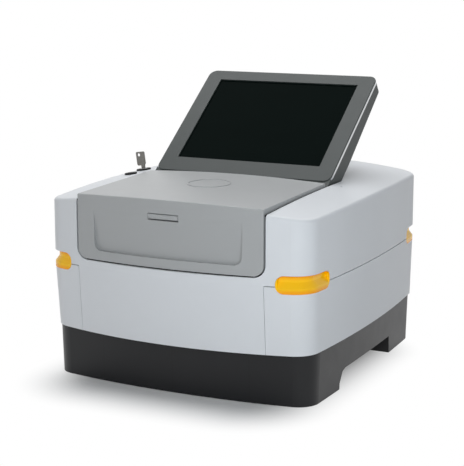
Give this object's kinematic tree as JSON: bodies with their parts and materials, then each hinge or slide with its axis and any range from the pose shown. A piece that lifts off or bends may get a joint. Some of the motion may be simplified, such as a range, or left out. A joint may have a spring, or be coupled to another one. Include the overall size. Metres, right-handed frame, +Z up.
{
  "type": "x-ray fluorescence spectrometer",
  "caption": "Benchtop x-ray fluorescence spectrometer: white housing on a charcoal plinth, grey hinged chamber lid, tilting touch screen, key switch and amber corner lamps.",
  "frame": {"origin": "on the bench under the middle of the instrument's bounding box", "axes": "+X to the instrument's right seen from the front, +Y to the back, +Z up"},
  "size_m": [0.4392, 0.5005, 0.4328],
  "materials": {
    "white_shell": "fine-textured moulded white",
    "grey_lid": "satin painted grey",
    "screen_grey": "satin dark grey moulding",
    "bright_trim": "polished edge strip",
    "dark_glass": "dark glossy touch panel",
    "charcoal": "fine-textured charcoal moulding",
    "black": "satin black",
    "amber_lens": "translucent amber",
    "key_metal": "worn nickel-plated brass",
    "steel": "brushed sheet steel",
    "bright_steel": "turned bright steel",
    "aluminium_block": "milled aluminium",
    "rubber": "soft matte rubber",
    "board_green": "solder-masked circuit board",
    "gear_plastic": "natural acetal",
    "brass_bearing": "turned bronze"
  },
  "bodies": {
    "instrument": {"base_plinth": "charcoal", "rubber_feet": "rubber", "chassis_plate": "steel", "upper_housing": "white_shell", "lower_cover_left": "white_shell", "lower_cover_right": "white_shell", "lamp_front_left": "amber_lens", "lamp_front_right": "amber_lens", "lamp_rear_left": "amber_lens", "lamp_rear_right": "amber_lens", "lamp_boards": "board_green", "lid_gasket": "rubber", "lid_hinge_brackets": "steel", "lid_hinge_pins": "bright_steel", "catch_plates": "steel", "screen_hinge_pins": "bright_steel", "button_bezel": "black", "button_switch": "black", "lock_escutcheon": "black", "lock_body": "bright_steel", "chamber_liner": "steel", "spinner_bearing": "brass_bearing", "spinner_motor": "black", "measuring_head": "aluminium_block", "detector": "bright_steel", "xray_tube": "bright_steel", "filter_motor": "black", "shutter_solenoid": "black", "hv_generator": "aluminium_block", "power_supply": "steel", "control_board": "board_green", "rear_panel": "steel", "housing_screws": "bright_steel", "fan_housing": "black", "fan_grille": "steel", "mains_inlet": "black", "mains_switch": "black", "data_ports": "black"},
    "lid": {"lid_skin": "grey_lid", "latch_pin": "bright_steel", "lid_liner": "steel", "liner_bosses": "grey_lid", "lid_hinge_arms": "steel", "lid_magnets": "black"},
    "latch": {"latch_paddle": "grey_lid"},
    "screen": {"screen_bezel": "screen_grey", "screen_trim": "bright_trim", "screen_glass": "dark_glass", "lcd_panel": "black", "screen_board": "board_green", "screen_back_shell": "screen_grey"},
    "button": {"standby_button": "black"},
    "plug": {"lock_plug": "bright_steel"},
    "key": {"key": "key_metal"},
    "spinner": {"sample_spinner": "gear_plastic"},
    "pinion": {"spinner_pinion": "gear_plastic"},
    "filters": {"filter_wheel": "aluminium_block"},
    "shutter": {"shutter_blade": "brass_bearing"},
    "fan": {"fan_rotor": "black"},
    "rocker": {"mains_rocker": "black"}
  },
  "joints": [
    {"name": "lid_hinge", "type": "hinge", "parent": "instrument", "child": "lid", "pos_m": [0, -0.027, 0.2852], "axis": [-1, 0, 0], "range_deg": [0, 75]},
    {"name": "latch_pull", "type": "hinge", "parent": "lid", "child": "latch", "pos_m": [0, -0.24191, 0.2644], "axis": [-1, 0, 0], "range_deg": [0, 15], "stiffness_Nm_per_rad": 0.02, "springref_deg": -17.19},
    {"name": "screen_tilt", "type": "hinge", "parent": "instrument", "child": "screen", "pos_m": [0, 0, 0.28], "axis": [1, 0, 0], "range_deg": [0, 35]},
    {"name": "button_press", "type": "slide", "parent": "instrument", "child": "button", "axis": [0.1478, 0, -0.989], "range_m": [0, 0.0025], "stiffness_N_per_m": 250, "springref_m": -0.001},
    {"name": "lock_turn", "type": "hinge", "parent": "instrument", "child": "plug", "pos_m": [-0.1965, 0.037, 0.27904], "axis": [-0.1478, 0, 0.989], "range_deg": [0, 90]},
    {"name": "key_withdraw", "type": "slide", "parent": "plug", "child": "key", "axis": [-0.1478, 0, 0.989], "range_m": [0, 0.024]},
    {"name": "sample_spin", "type": "hinge", "parent": "instrument", "child": "spinner", "pos_m": [0, -0.13, 0.19], "axis": [0, 0, 1], "continuous": true},
    {"name": "pinion_spin", "type": "hinge", "parent": "instrument", "child": "pinion", "pos_m": [0, -0.07365, 0.19], "axis": [0, 0, 1], "continuous": true},
    {"name": "filter_turn", "type": "hinge", "parent": "instrument", "child": "filters", "pos_m": [-0.038, -0.13, 0.153], "axis": [0, 0, 1], "continuous": true},
    {"name": "shutter_swing", "type": "hinge", "parent": "instrument", "child": "shutter", "pos_m": [0, -0.178, 0.1585], "axis": [0, 0, 1], "range_deg": [0, 35], "stiffness_Nm_per_rad": 0.01, "springref_deg": -11.46},
    {"name": "fan_spin", "type": "hinge", "parent": "instrument", "child": "fan", "pos_m": [-0.085, 0.244, 0.126], "axis": [0, 1, 0], "continuous": true},
    {"name": "mains_rock", "type": "hinge", "parent": "instrument", "child": "rocker", "pos_m": [0.095, 0.244, 0.136], "axis": [0, 0, -1], "range_deg": [0, 16]}
  ],
  "couplings": [
    {"joint": "pinion_spin", "follows": "sample_spin", "ratio": -4}
  ]
}
